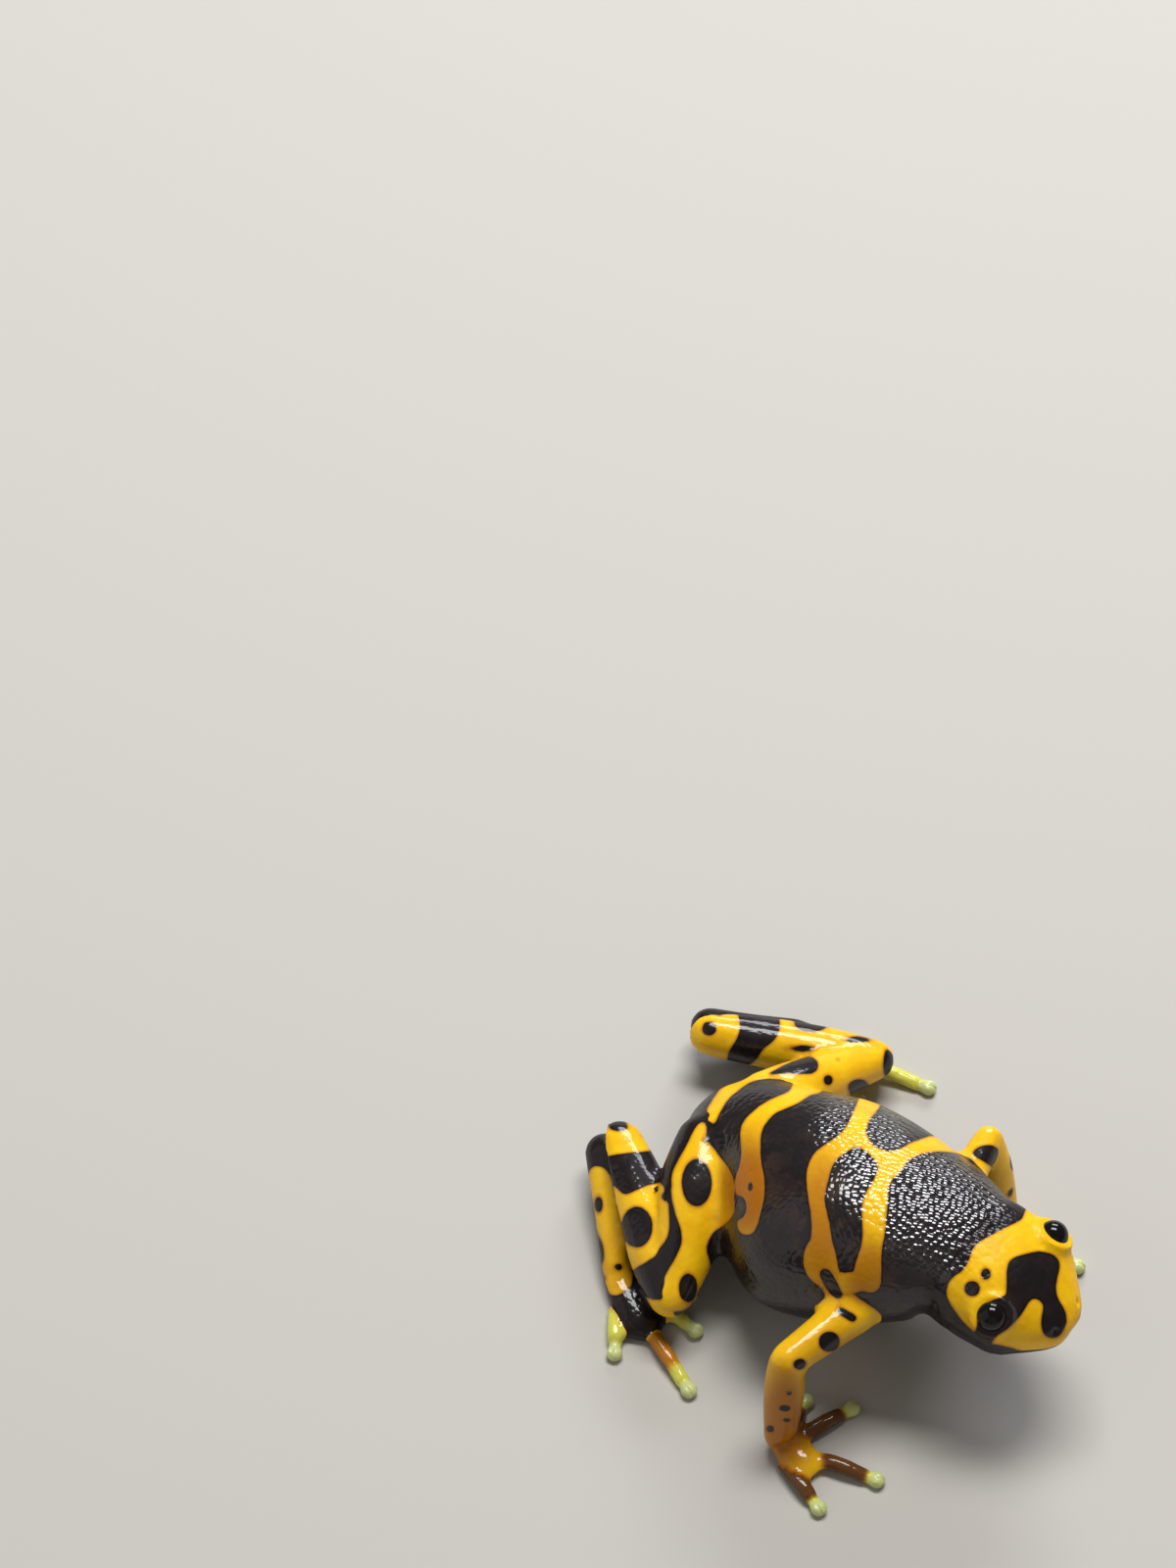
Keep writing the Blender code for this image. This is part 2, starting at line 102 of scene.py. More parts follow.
def frame_pixels(places):
    """Pixels of the frame where places of the model in mm are seen, and how many make a mm."""
    offset = places * MM - np.array(camera_place)
    scale = FOCAL_PIXELS / -(offset @ np.array(camera_back))
    across = FRAME_WIDTH / 2 + offset @ np.array(camera_right) * scale
    down = FRAME_HEIGHT / 2 - offset @ np.array(camera_up) * scale
    return np.column_stack((across, down)), scale * MM


# Skin. One thin moist skin covers the real frog from snout to toe tips without a seam. Here the
# solids of the body and the lids are fused: they are swelled over their gaps, remeshed, smoothed
# and drawn back. Its sizes are in mm.
MERGE_WITHIN = 0.002
SWELL = 0.25
VOXEL = 0.257
LID_THICKNESS = 0.3
LID_OPEN_AT = 0.42
EYE_RADIUS = 1.1
BALL_SEGMENTS = 48
BALL_RINGS = 32
EYE_LOOK = Vector((0.55, 0.10, 0.83))
HEAD_TURN = math.radians(10.0)
HEAD_DIP = math.radians(9.0)
SIDES = {"left": 1.0, "right": -1.0}

head_left = Vector((math.cos(HEAD_TURN), math.sin(HEAD_TURN), 0))
head_level = Vector((math.sin(HEAD_TURN), -math.cos(HEAD_TURN), 0))
head_ahead = head_level * math.cos(HEAD_DIP) - Vector((0, 0, math.sin(HEAD_DIP)))
head_up = head_level * math.sin(HEAD_DIP) + Vector((0, 0, math.cos(HEAD_DIP)))
eye_middle = {side: middle_of(f"eye_{side}") / MM for side in SIDES}


def head_direction(side, across, ahead, up):
    """A direction given in the head's own terms, towards that side of it."""
    return (head_left * across * SIDES[side] + head_ahead * ahead + head_up * up).normalized()


def clear_selection():
    if bpy.context.object and bpy.context.object.mode != "OBJECT":
        bpy.ops.object.mode_set(mode="OBJECT")
    bpy.ops.object.select_all(action="DESELECT")


def apply_modifier(piece, kind, **settings):
    """Adds a modifier with its settings and applies it."""
    bpy.context.view_layer.objects.active = piece
    modifier = piece.modifiers.new(kind.lower(), kind)
    for name, value in settings.items():
        setattr(modifier, name, value)
    bpy.ops.object.modifier_apply(modifier=modifier.name)


def join_pieces(whole, parts):
    clear_selection()
    for part in parts:
        part.select_set(True)
    whole.select_set(True)
    bpy.context.view_layer.objects.active = whole
    bpy.ops.object.join()


flesh_nodes = sorted(name for name in nodes if not name.startswith("eye_"))
flesh = bmesh.new()
node_of_face = []
for index, name in enumerate(flesh_nodes):
    flesh.from_mesh(nodes[name].data)
    node_of_face += [index] * (len(flesh.faces) - len(node_of_face))
bmesh.ops.scale(flesh, vec=(1 / MM,) * 3, verts=flesh.verts)
node_tree = BVHTree.FromBMesh(flesh)
bmesh.ops.remove_doubles(flesh, verts=flesh.verts, dist=MERGE_WITHIN)
skin_mesh = bpy.data.meshes.new("skin")
flesh.to_mesh(skin_mesh)
flesh.free()
skin = bpy.data.objects.new("skin", skin_mesh)
bpy.context.scene.collection.objects.link(skin)

lids = []
for side in SIDES:
    clear_selection()
    look = head_direction(side, *EYE_LOOK)
    bpy.ops.mesh.primitive_uv_sphere_add(
        segments=BALL_SEGMENTS, ring_count=BALL_RINGS,
        radius=EYE_RADIUS + LID_THICKNESS, location=eye_middle[side],
    )
    lid = bpy.context.object
    bpy.ops.object.mode_set(mode="EDIT")
    bpy.ops.mesh.select_all(action="SELECT")
    bpy.ops.mesh.bisect(
        plane_co=eye_middle[side] + look * LID_OPEN_AT, plane_no=look,
        use_fill=True, clear_outer=True,
    )
    bpy.ops.object.mode_set(mode="OBJECT")
    lids.append(lid)
join_pieces(skin, lids)
apply_modifier(skin, "DISPLACE", strength=SWELL, mid_level=0.0)
apply_modifier(skin, "REMESH", mode="VOXEL", voxel_size=VOXEL)

# Softness of the form at each place: the trunk's facets are smoothed most and the digits' least.
SOFTNESS = {"torso": 1.0, "head": 0.07, "lower_jaw": 0.2, "toe": 0.04, "finger": 0.04}
LIMB_SOFTNESS = 0.22
SOFTNESS_STEPS = 12
SMOOTH_STEPS = 48
SMOOTH_FACTOR = 0.5


def rows_of(elements, name):
    """The places or the normals of a mesh, as rows of three numbers."""
    rows = np.empty(len(elements) * 3, np.float32)
    elements.foreach_get(name, rows)
    return rows.reshape(-1, 3).astype(float)


def nearest_nodes(places):
    """Which of the flesh nodes lies nearest to each place."""
    return np.array([node_of_face[node_tree.find_nearest(Vector(place))[2]] for place in places])


def spread(mesh, values, steps):
    """Values at the vertices, averaged with their neighbours a number of times."""
    ends = np.empty(len(mesh.edges) * 2, np.int32)
    mesh.edges.foreach_get("vertices", ends)
    ends = ends.reshape(-1, 2)
    count = np.bincount(ends.ravel(), minlength=len(values))
    for _ in range(steps):
        total = np.bincount(ends[:, 0], values[ends[:, 1]], len(values))
        total += np.bincount(ends[:, 1], values[ends[:, 0]], len(values))
        values = 0.5 * values + 0.5 * total / np.maximum(count, 1)
    return values


def softness_of(name):
    for start, value in SOFTNESS.items():
        if name.startswith(start):
            return value
    return LIMB_SOFTNESS


places = rows_of(skin.data.vertices, "co")
node_softness = np.array([softness_of(name) for name in flesh_nodes])
softness = spread(skin.data, node_softness[nearest_nodes(places)], SOFTNESS_STEPS)
group = skin.vertex_groups.new(name="softness")
for index, value in enumerate(softness):
    group.add([index], float(value), "REPLACE")
apply_modifier(
    skin, "SMOOTH", factor=SMOOTH_FACTOR, iterations=SMOOTH_STEPS, vertex_group="softness"
)
apply_modifier(skin, "DISPLACE", strength=-SWELL, mid_level=0.0)
skin.vertex_groups.clear()

# The head and the digits are small and finely shaped, so their faces are divided once more.
FINE_NODES = ("head", "lower_jaw", "toe", "finger")
places = rows_of(skin.data.vertices, "co")
fine_nodes = [index for index, name in enumerate(flesh_nodes) if name.startswith(FINE_NODES)]
is_fine = np.isin(nearest_nodes(places), fine_nodes)
fine_mesh = bmesh.new()
fine_mesh.from_mesh(skin.data)
fine_edges = [edge for edge in fine_mesh.edges if all(is_fine[vert.index] for vert in edge.verts)]
bmesh.ops.subdivide_edges(fine_mesh, edges=fine_edges, cuts=1, smooth=1.0, use_grid_fill=True)
fine_mesh.to_mesh(skin.data)
fine_mesh.free()

# Fine form: the groove of the lips, the nostrils, a narrower snout, a notch between the two scutes
# of each toe disc and a crease behind it. The digits regain what the smoothing took, and the right
# calf bulges towards the thigh. In the head, a place is in mm to its left, ahead and up.
LIP_UP = -0.85
LIP_CORNER_AHEAD = 2.4
LIP_CORNER_FADE = 0.6
LIP_DEPTH = 0.17
LIP_WIDTH = 0.15
EYE_IN_HEAD = Vector((3.95, 4.6, 2.55))
NOSTRIL_IN_HEAD = Vector((1.75, 8.75, 1.3))
NOSTRIL_DEPTH = 0.18
NOSTRIL_WIDTH = 0.2
SNOUT_FROM = 6.5
SNOUT_LENGTH = 2.8
SNOUT_NARROWING = 0.22
DIGIT_FILLING = 0.14
FILLING_STEPS = 6
CALF_SHIFT = 0.4
CALF_LENGTH = 4.0
CALF_STEPS = 10
SCUTE_NOTCH_WIDTH = 0.1
SCUTE_NOTCH_DEPTH = 0.1
SCUTE_LENGTH = 0.75
SCUTE_FADE = 0.2
DISC_CREASE_AT = 1.35
DISC_CREASE_DEPTH = 0.06
DISC_CREASE_WIDTH = 0.15
TOP_SHARPNESS = 2
FAR_OFF = 1e6

places = rows_of(skin.data.vertices, "co")
normals = rows_of(skin.data.vertex_normals, "vector")
node_at = nearest_nodes(places)
in_head = (places - np.array(eye_middle["left"])) @ np.array((head_left, head_ahead, head_up)).T
in_head += np.array(EYE_IN_HEAD)
press = np.zeros(len(places))


def hump(distance, width):
    """1 at no distance, falling softly to nothing over about twice the width."""
    return np.exp(-((distance / width) ** 2))


def on_nodes(*names):
    """Picks the skin that lies over these nodes; a name ends with * for all that begin like it."""
    wanted = []
    for index, node in enumerate(flesh_nodes):
        for name in names:
            if node == name or (name.endswith("*") and node.startswith(name[:-1])):
                wanted.append(index)
    return np.isin(node_at, wanted)


face_and_jaw = on_nodes("head", "lower_jaw")
lip_ahead = np.clip((in_head[:, 1] - LIP_CORNER_AHEAD) / LIP_CORNER_FADE, 0, 1)
press += face_and_jaw * LIP_DEPTH * lip_ahead * hump(in_head[:, 2] - LIP_UP, LIP_WIDTH)
for sign in SIDES.values():
    nostril = np.array((NOSTRIL_IN_HEAD.x * sign, NOSTRIL_IN_HEAD.y, NOSTRIL_IN_HEAD.z))
    from_nostril = np.linalg.norm(in_head - nostril, axis=1)
    press += face_and_jaw * NOSTRIL_DEPTH * hump(from_nostril, NOSTRIL_WIDTH)

from_tip = np.full(len(places), FAR_OFF)
for index, name in enumerate(flesh_nodes):
    if not name.startswith(("toe", "finger")):
        continue
    pad = ("foot_" if name.startswith("toe") else "hand_") + name.rsplit("_", 1)[1]
    pad_middle = np.array(middle_of(pad)) / MM
    on_digit = np.where(node_at == index)[0]
    tip = places[on_digit[np.argmax(np.linalg.norm(places[on_digit] - pad_middle, axis=1))]]
    root = places[on_digit].mean(axis=0)
    line = (root - tip)[:2] / np.linalg.norm((root - tip)[:2])
    offset = (places[on_digit] - tip)[:, :2]
    back = offset @ line
    across = offset @ np.array((-line[1], line[0]))
    from_tip[on_digit] = back
    top = np.clip(normals[on_digit, 2] * TOP_SHARPNESS, 0, 1)
    notch = hump(across, SCUTE_NOTCH_WIDTH) * np.clip((SCUTE_LENGTH - back) / SCUTE_FADE, 0, 1)
    crease = hump(back - DISC_CREASE_AT, DISC_CREASE_WIDTH)
    press[on_digit] += top * (SCUTE_NOTCH_DEPTH * notch + DISC_CREASE_DEPTH * crease)
stems = on_nodes("toe_*", "finger_*") & (from_tip > DISC_CREASE_AT)
press -= spread(skin.data, np.where(stems, DIGIT_FILLING, 0.0), FILLING_STEPS)
calf_middle = np.array(middle_of("shank_right")) / MM
calf = hump(np.linalg.norm(places - calf_middle, axis=1), CALF_LENGTH)
places -= normals * press[:, None]
snout = face_and_jaw * np.clip((in_head[:, 1] - SNOUT_FROM) / SNOUT_LENGTH, 0, 1)
places -= np.outer(SNOUT_NARROWING * snout * in_head[:, 0], head_left)
calf = spread(skin.data, on_nodes("shank_right") * calf, CALF_STEPS)
places += np.outer(CALF_SHIFT * calf, camera_right)
places[:, 2] = np.maximum(places[:, 2], cad_bounds[0].z / MM)
skin.data.vertices.foreach_set("co", places.astype(np.float32).ravel())
skin.data.update()

# Markings. Real skin is black-brown with yellow bands, and on the limbs yellow with black spots.
# It is painted in strokes, outlines and spots, in pixels of the frame where the camera sees them
# and in mm on the model elsewhere, and kept as the distance in mm to an edge, above 0 on yellow.
YELLOW = 1.0
BLACK = -1.0
MARK_REACH = 2.0
MARK_STEPS = 8
EDGE_STEPS = 2
CORNER_CUTS = 2
CORNER_SHARE = 0.25
NO_LENGTH = 1e-9
BLEND = 0.12
# Stains of amber, partly painted shade, fade over this share of their smaller width.
AMBER_SHADE_EDGE = 0.35
UNDERSIDE_FADE = 1.7

places = rows_of(skin.data.vertices, "co")
normals = rows_of(skin.data.vertex_normals, "vector")
pixels, pixels_per_mm = frame_pixels(places)
towards_camera = np.array(camera_place) / MM - places
towards_camera /= np.linalg.norm(towards_camera, axis=1)[:, None]
facing = np.sum(normals * towards_camera, axis=1)
limbs = on_nodes("thigh_left", "shank_*", "upper_arm_*", "forearm_*", "hand_*")
digits = on_nodes("toe_*", "finger_*")
field = spread(skin.data, np.where(limbs | digits, MARK_REACH, -MARK_REACH), MARK_STEPS)
# Amber, partly the skin's own and partly painted shade; past 1 it is the brown of the finger roots.
amber = np.zeros(len(places))


def rounded(rows, closed):
    """The points of a line or outline with its corners cut twice, which rounds them."""
    rows = np.array(rows, float)
    for _ in range(CORNER_CUTS):
        ahead = np.roll(rows, -1, axis=0) if closed else rows[1:]
        behind = rows if closed else rows[:-1]
        early = (1 - CORNER_SHARE) * behind + CORNER_SHARE * ahead
        late = CORNER_SHARE * behind + (1 - CORNER_SHARE) * ahead
        cut = np.stack((early, late), axis=1).reshape(-1, rows.shape[1])
        rows = cut if closed else np.vstack((rows[:1], cut, rows[-1:]))
    return rows


def inside_stroke(points, rows):
    """How deep each point lies inside a brush stroke, whose rows are a place and its full width."""
    rows = rounded(rows, closed=False)
    deepest = np.full(len(points), -FAR_OFF)
    for start, end in zip(rows[:-1], rows[1:]):
        along = end[:-1] - start[:-1]
        share = np.clip((points - start[:-1]) @ along / max(along @ along, NO_LENGTH), 0, 1)
        gap = np.linalg.norm(points - (start[:-1] + share[:, None] * along), axis=1)
        deepest = np.maximum(deepest, (start[-1] + (end[-1] - start[-1]) * share) / 2 - gap)
    return deepest


def inside_outline(points, corners):
    """How deep each point lies inside an outline of pixels, negative outside it."""
    corners = rounded(corners, closed=True)
    nearest = np.full(len(points), FAR_OFF)
    inside = np.zeros(len(points), bool)
    for start, end in zip(corners, np.roll(corners, -1, axis=0)):
        along = end - start
        share = np.clip((points - start) @ along / max(along @ along, NO_LENGTH), 0, 1)
        gap = np.linalg.norm(points - (start + share[:, None] * along), axis=1)
        nearest = np.minimum(nearest, gap)
        crosses = (start[1] > points[:, 1]) != (end[1] > points[:, 1])
        height = along[1] if abs(along[1]) > NO_LENGTH else NO_LENGTH
        crossing = start[0] + along[0] * (points[:, 1] - start[1]) / height
        inside ^= crosses & (points[:, 0] < crossing)
    return np.where(inside, nearest, -nearest)


def inside_spot(points, middle, width, height, turn_deg=0.0):
    """How deep each point lies inside an oval spot of pixels."""
    turn = math.radians(turn_deg)
    offset = points - np.array(middle, float)
    across = offset[:, 0] * math.cos(turn) + offset[:, 1] * math.sin(turn)
    down = -offset[:, 0] * math.sin(turn) + offset[:, 1] * math.cos(turn)
    size = np.hypot(across / (width / 2), down / (height / 2))
    return (1 - size) * min(width, height) / 2


def paint(where, colour, depth):
    """Lays a mark of one colour over what is there, with its corners run together a little."""
    was = field[where] * colour
    mark = depth[where]
    share = np.clip(0.5 + 0.5 * (was - mark) / BLEND, 0, 1)
    field[where] = colour * (mark + share * (was - mark) + BLEND * share * (1 - share))


def paint_strokes(where, colour, *strokes):
    for rows in strokes:
        paint(where, colour, inside_stroke(pixels, rows) / pixels_per_mm)


def paint_outlines(where, colour, *outlines):
    for corners in outlines:
        paint(where, colour, inside_outline(pixels, corners) / pixels_per_mm)


def paint_spots(where, colour, *spots):
    for middle, *sizes in spots:
        paint(where, colour, inside_spot(pixels, middle, *sizes) / pixels_per_mm)


def eased(share):
    """A share from 0 to 1, with a soft start and a soft end."""
    return share * share * (3 - 2 * share)


def paint_amber_and_shade(where, amount, middle, width, height):
    """Turns an oval of pixels amber, partly painted shade, softly towards its edge."""
    depth = inside_spot(pixels, middle, width, height)
    share = np.clip(depth / (AMBER_SHADE_EDGE * min(width, height)), 0, 1)
    amber[where] = np.maximum(amber[where], amount * eased(share)[where])


def blot(where, colour, *spots):
    """Round spots by their place in mm from the middle of a node, and their radius."""
    for node, offset, radius in spots:
        middle = np.array(middle_of(node)) / MM + np.array(offset)
        paint(where, colour, radius - np.linalg.norm(places - middle, axis=1))


# Trunk: two stripes on the rump, and two bands across the back, which are joined by a crossing
# near the spine and by a bridge low on the flank.
REAR_STRIPE = (
    (790, 1092, 8), (775, 1097, 8), (762, 1100, 10), (750, 1107, 13), (738, 1117, 13),
    (730, 1130, 13), (722, 1145, 15), (714, 1158, 16),
)
SECOND_STRIPE = (
    (832, 1106, 20), (820, 1108, 22), (812, 1119, 15), (797, 1125, 14), (784, 1131, 15),
    (773, 1142, 18), (766, 1152, 22), (766, 1165, 20), (766, 1180, 19), (766, 1195, 24),
    (765, 1206, 31), (766, 1218, 28), (768, 1230, 20), (765, 1241, 20), (762, 1250, 20),
)
REAR_BAND = (
    (893, 1112, 24), (888, 1124, 24), (879, 1138, 18), (874, 1152, 20), (866, 1163, 20),
    (852, 1172, 18), (840, 1182, 22), (835, 1195, 24), (833, 1210, 20), (833, 1225, 15),
    (836, 1240, 16), (838, 1255, 19), (838, 1270, 22), (836, 1282, 34), (838, 1294, 34),
    (846, 1306, 20), (850, 1320, 16),
)
CROSSING = ((872, 1158, 20), (885, 1167, 14), (898, 1178, 14), (908, 1190, 22))
FRONT_BAND = (
    (982, 1177, 2), (968, 1172, 7), (955, 1166, 18), (940, 1170, 14), (922, 1177, 16),
    (910, 1188, 24), (902, 1200, 16), (897, 1213, 18), (893, 1225, 26), (892, 1240, 25),
    (892, 1255, 23), (890, 1270, 20), (887, 1285, 24), (885, 1298, 28), (888, 1308, 22),
)
BRIDGE = ((858, 1310, 22), (875, 1308, 20))
BAND_GAP = (
    (899, 1130), (890, 1140), (886, 1150), (885, 1160), (890, 1168), (898, 1173), (911, 1174),
    (923, 1171), (929, 1164), (937, 1158), (940, 1140), (915, 1120),
)
trunk = on_nodes("torso")
paint_strokes(trunk, YELLOW, REAR_STRIPE, SECOND_STRIPE, REAR_BAND, CROSSING, FRONT_BAND, BRIDGE)
paint_outlines(trunk, BLACK, BAND_GAP)
paint_strokes(trunk, BLACK, ((842, 1300, 12), (850, 1314, 13), (855, 1322, 10)))
paint_spots(trunk, BLACK, ((754, 1232), 16, 24), ((765.5, 1211), 6, 10))

# Left leg: a yellow heel with a round spot, a black band, and yellow to the knee.
left_shank = on_nodes("shank_left")
left_thigh = on_nodes("thigh_left")
LEFT_SHANK_BAND = (
    (753, 1030), (753, 1036), (756, 1047), (752, 1061), (742, 1074), (742, 1095), (770, 1085),
    (777, 1072), (790, 1062), (795, 1054), (796, 1043), (794, 1030),
)
paint_outlines(left_shank, BLACK, LEFT_SHANK_BAND)
paint_spots(
    left_shank, BLACK,
    ((723.6, 1049.7), 15, 15), ((734, 1035), 5, 4), ((828, 1043), 36, 20), ((820, 1070), 32, 7),
    ((875, 1062), 26, 9),
)
paint_strokes(left_thigh, BLACK, ((786, 1096, 3), (797, 1092, 7), (812, 1089, 14), (826, 1087, 18)))
paint_spots(
    left_thigh, BLACK,
    ((845, 1102), 10, 11), ((876, 1110), 22, 18), ((907, 1086), 12, 34), ((855, 1081), 3, 3),
)

# Right leg: the same pattern, with a large teardrop spot on the thigh. The edge of the calf meets
# the thigh, so its yellow and its small spot run over both.
right_shank = on_nodes("shank_right")
right_thigh = on_nodes("thigh_right")
right_tarsus = on_nodes("ankle_right", "foot_right")
RIGHT_SHANK_BAND = (
    (596, 1184), (617, 1181), (632, 1177), (663, 1175), (690, 1168), (692, 1202), (674, 1206),
    (656, 1211), (645, 1217), (636, 1220), (625, 1207), (600, 1206),
)
RIGHT_SHANK_END = (
    (700, 1250), (686, 1262), (675, 1278), (652, 1292), (640, 1300), (660, 1330), (700, 1320),
)
RIGHT_THIGH_YELLOW = (
    (709, 1150), (700, 1171), (683, 1199), (687, 1233), (696, 1256), (696, 1271), (683, 1295),
    (669, 1316), (669, 1330), (683, 1340), (705, 1335), (719, 1312), (727, 1295), (723, 1284),
    (720, 1273), (727, 1257), (742, 1248), (750, 1237), (749, 1224), (749, 1205), (745, 1194),
    (739, 1186), (731, 1176), (724, 1166), (721, 1156), (719.5, 1142),
)
paint_outlines(right_shank, BLACK, RIGHT_SHANK_BAND, RIGHT_SHANK_END)
paint_spots(
    right_shank, BLACK,
    ((631, 1149), 20, 11), ((650, 1252), 32, 42), ((679, 1221), 9, 9),
)
RIGHT_CALF_EDGE = (
    (664, 1202), (674, 1206), (680, 1216), (683, 1240), (683, 1258), (677, 1270), (664, 1280),
    (655, 1270), (655, 1220),
)
field[right_thigh] = -MARK_REACH
paint_outlines(right_thigh, YELLOW, RIGHT_CALF_EDGE)
paint_spots(right_thigh, BLACK, ((679, 1221), 9, 9))
paint_outlines(right_thigh | trunk, YELLOW, RIGHT_THIGH_YELLOW)
paint_spots(
    right_thigh | trunk, BLACK,
    ((718.5, 1164), 5, 7), ((711, 1207), 31, 49), ((683.5, 1208.6), 6, 6), ((702, 1314), 19, 30),
)
RIGHT_TARSUS_STRIP = (
    (597, 1190), (622, 1190), (630, 1230), (640, 1270), (647, 1307), (640, 1318), (623, 1324),
    (611, 1306), (612, 1296), (617, 1284), (616, 1270), (608, 1256), (601, 1244),
)
paint_outlines(right_tarsus, YELLOW, RIGHT_TARSUS_STRIP)
paint_spots(right_tarsus, BLACK, ((611, 1229), 9, 17), ((631, 1293), 9, 8), ((617.6, 1304), 4, 4))

# Head: yellow with one black patch that runs over the snout, and two spots behind the right eye.
head = on_nodes("head")
HEAD_YELLOW = (
    (1050, 1222), (1045, 1240), (1041, 1246), (1029, 1251), (1012, 1260), (998, 1268),
    (993, 1273), (990, 1282), (987, 1290), (981, 1298), (974, 1302), (968, 1308), (966, 1316),
    (966, 1324), (974, 1338), (986, 1352), (993, 1358), (1005, 1371), (1020, 1372), (1035, 1376),
    (1052, 1383), (1110, 1390), (1120, 1220),
)
HEAD_BLACK = (
    (985, 1385), (996, 1358), (998, 1345), (1003, 1333), (1013, 1326), (1022, 1324), (1027, 1320),
    (1027, 1312), (1027, 1293), (1031, 1285), (1040, 1281), (1056, 1277), (1066, 1277),
    (1079, 1282), (1082, 1292), (1079, 1304), (1077, 1316), (1080, 1326), (1088, 1339),
    (1089, 1348), (1086, 1357), (1081, 1364), (1073, 1366), (1066, 1363), (1063, 1356),
    (1062, 1348), (1065, 1333), (1062, 1328), (1056, 1325), (1051, 1327), (1047, 1334),
    (1042, 1342), (1035, 1350), (1026, 1358), (1017, 1363), (1010, 1373), (1000, 1390),
)
paint_outlines(head, YELLOW, HEAD_YELLOW)
paint_outlines(head, BLACK, HEAD_BLACK)
paint_spots(head, BLACK, ((1006, 1300), 10, 12), ((992, 1315), 16, 16))

# Arms: the right one yellow above and orange below, the orange partly painted shade, and the left
# one with a half-moon spot.
right_upper_arm = on_nodes("upper_arm_right")
right_forearm = on_nodes("forearm_right", "hand_right")
left_upper_arm = on_nodes("upper_arm_left")
left_forearm = on_nodes("forearm_left", "hand_left")
RIGHT_ARM_ROOT = (
    (861, 1323), (868, 1319), (897, 1339), (895, 1342), (880, 1356), (863, 1372), (838, 1368),
    (830, 1348), (845, 1334), (856, 1327),
)
BEYOND_ARM_ROOT = ((850, 1312), (868, 1318), (898, 1339), (920, 1345), (920, 1300), (860, 1295))
paint_outlines(right_upper_arm, BLACK, BEYOND_ARM_ROOT)
paint_outlines(right_upper_arm | trunk, YELLOW, RIGHT_ARM_ROOT)
paint_strokes(right_upper_arm, BLACK, ((857, 1337, 8), (870, 1345, 9)))
paint_spots(right_upper_arm | right_forearm, BLACK, ((846, 1369), 22, 21), ((816, 1392), 14, 12))
paint_spots(
    right_forearm, BLACK,
    ((805, 1421.6), 8, 6), ((801, 1437), 14, 7), ((803, 1449), 11, 5), ((786, 1458), 10, 8),
)
LEFT_ARM_SPOT = (
    (990, 1177), (997, 1171), (1006, 1168), (1015, 1169), (1021, 1176), (1022, 1188),
    (1018, 1195), (1007, 1187), (998, 1182),
)
paint_outlines(left_upper_arm, BLACK, LEFT_ARM_SPOT)
blot(
    left_forearm | left_upper_arm, BLACK,
    ("forearm_left", (1.4, -0.6, 1.6), 0.8), ("forearm_left", (1.3, 0.6, -1.2), 0.6),
    ("forearm_left", (0.0, -1.9, -0.2), 0.55), ("hand_left", (0.5, 0.2, 0.8), 0.5),
)

# Where the camera doesn't see, the paint fades to black towards the underside. The two bands go on
# down the left flank, in rows of y, z and width in mm.
LEFT_FLANK_FROM = 3.0
LEFT_FRONT_BAND = ((-2.8, 9.0, 1.5), (-2.6, 7.0, 1.6), (-2.9, 5.2, 1.3), (-3.3, 3.8, 0.6))
LEFT_REAR_BAND = (
    (3.3, 9.0, 1.4), (3.9, 7.2, 1.5), (4.2, 5.8, 1.7), (3.9, 4.4, 1.3), (3.4, 3.4, 0.5),
)
hidden = np.clip(-facing, 0, 1)
field -= np.where(digits, 0, UNDERSIDE_FADE * hidden)
field[digits] = MARK_REACH
left_flank = trunk & (places[:, 0] > LEFT_FLANK_FROM)
for rows in (LEFT_FRONT_BAND, LEFT_REAR_BAND):
    paint(left_flank, YELLOW, inside_stroke(places[:, 1:], rows))
field = spread(skin.data, np.clip(field, -MARK_REACH, MARK_REACH), EDGE_STEPS)

# The yellow turns amber low on the flanks, and orange on the right upper arm, forearm, hand and
# tarsus. This is partly the skin's own amber and partly painted shade on the frog's right side. It
# turns brown towards the roots of the fingers. Only the ends of the digits are pale.
paint_amber_and_shade(trunk, 1.0, (765, 1212), 90, 160)
paint_amber_and_shade(trunk, 0.85, (838, 1245), 90, 220)
paint_amber_and_shade(trunk, 0.8, (888, 1300), 80, 110)
paint_amber_and_shade(right_upper_arm, 0.3, (840, 1375), 120, 60)
paint_amber_and_shade(right_forearm, 0.95, (800, 1450), 90, 170)
paint_amber_and_shade(right_tarsus, 0.3, (630, 1290), 90, 130)
PALE_LENGTH = {"toe": 2.9, "finger": 1.5}
ROOT_AMBER = {"toe": 0.9, "finger": 1.8}
PALE_FADE = 0.7
DISC_FADE = 0.3
pale = np.zeros(len(places))
for kind, length in PALE_LENGTH.items():
    on_kind = on_nodes(kind + "*")
    share = np.clip((length - from_tip) / PALE_FADE, 0, 1)
    pale = np.where(on_kind, eased(share), pale)
    amber = np.where(on_kind, np.maximum(amber, ROOT_AMBER[kind] * (1 - share)), amber)
pale = np.where(on_nodes("toe_4_left", "toe_5_right", "finger_4_left"), 1.0, pale)
pale += np.clip((DISC_CREASE_AT - from_tip) / DISC_FADE, 0, 1)

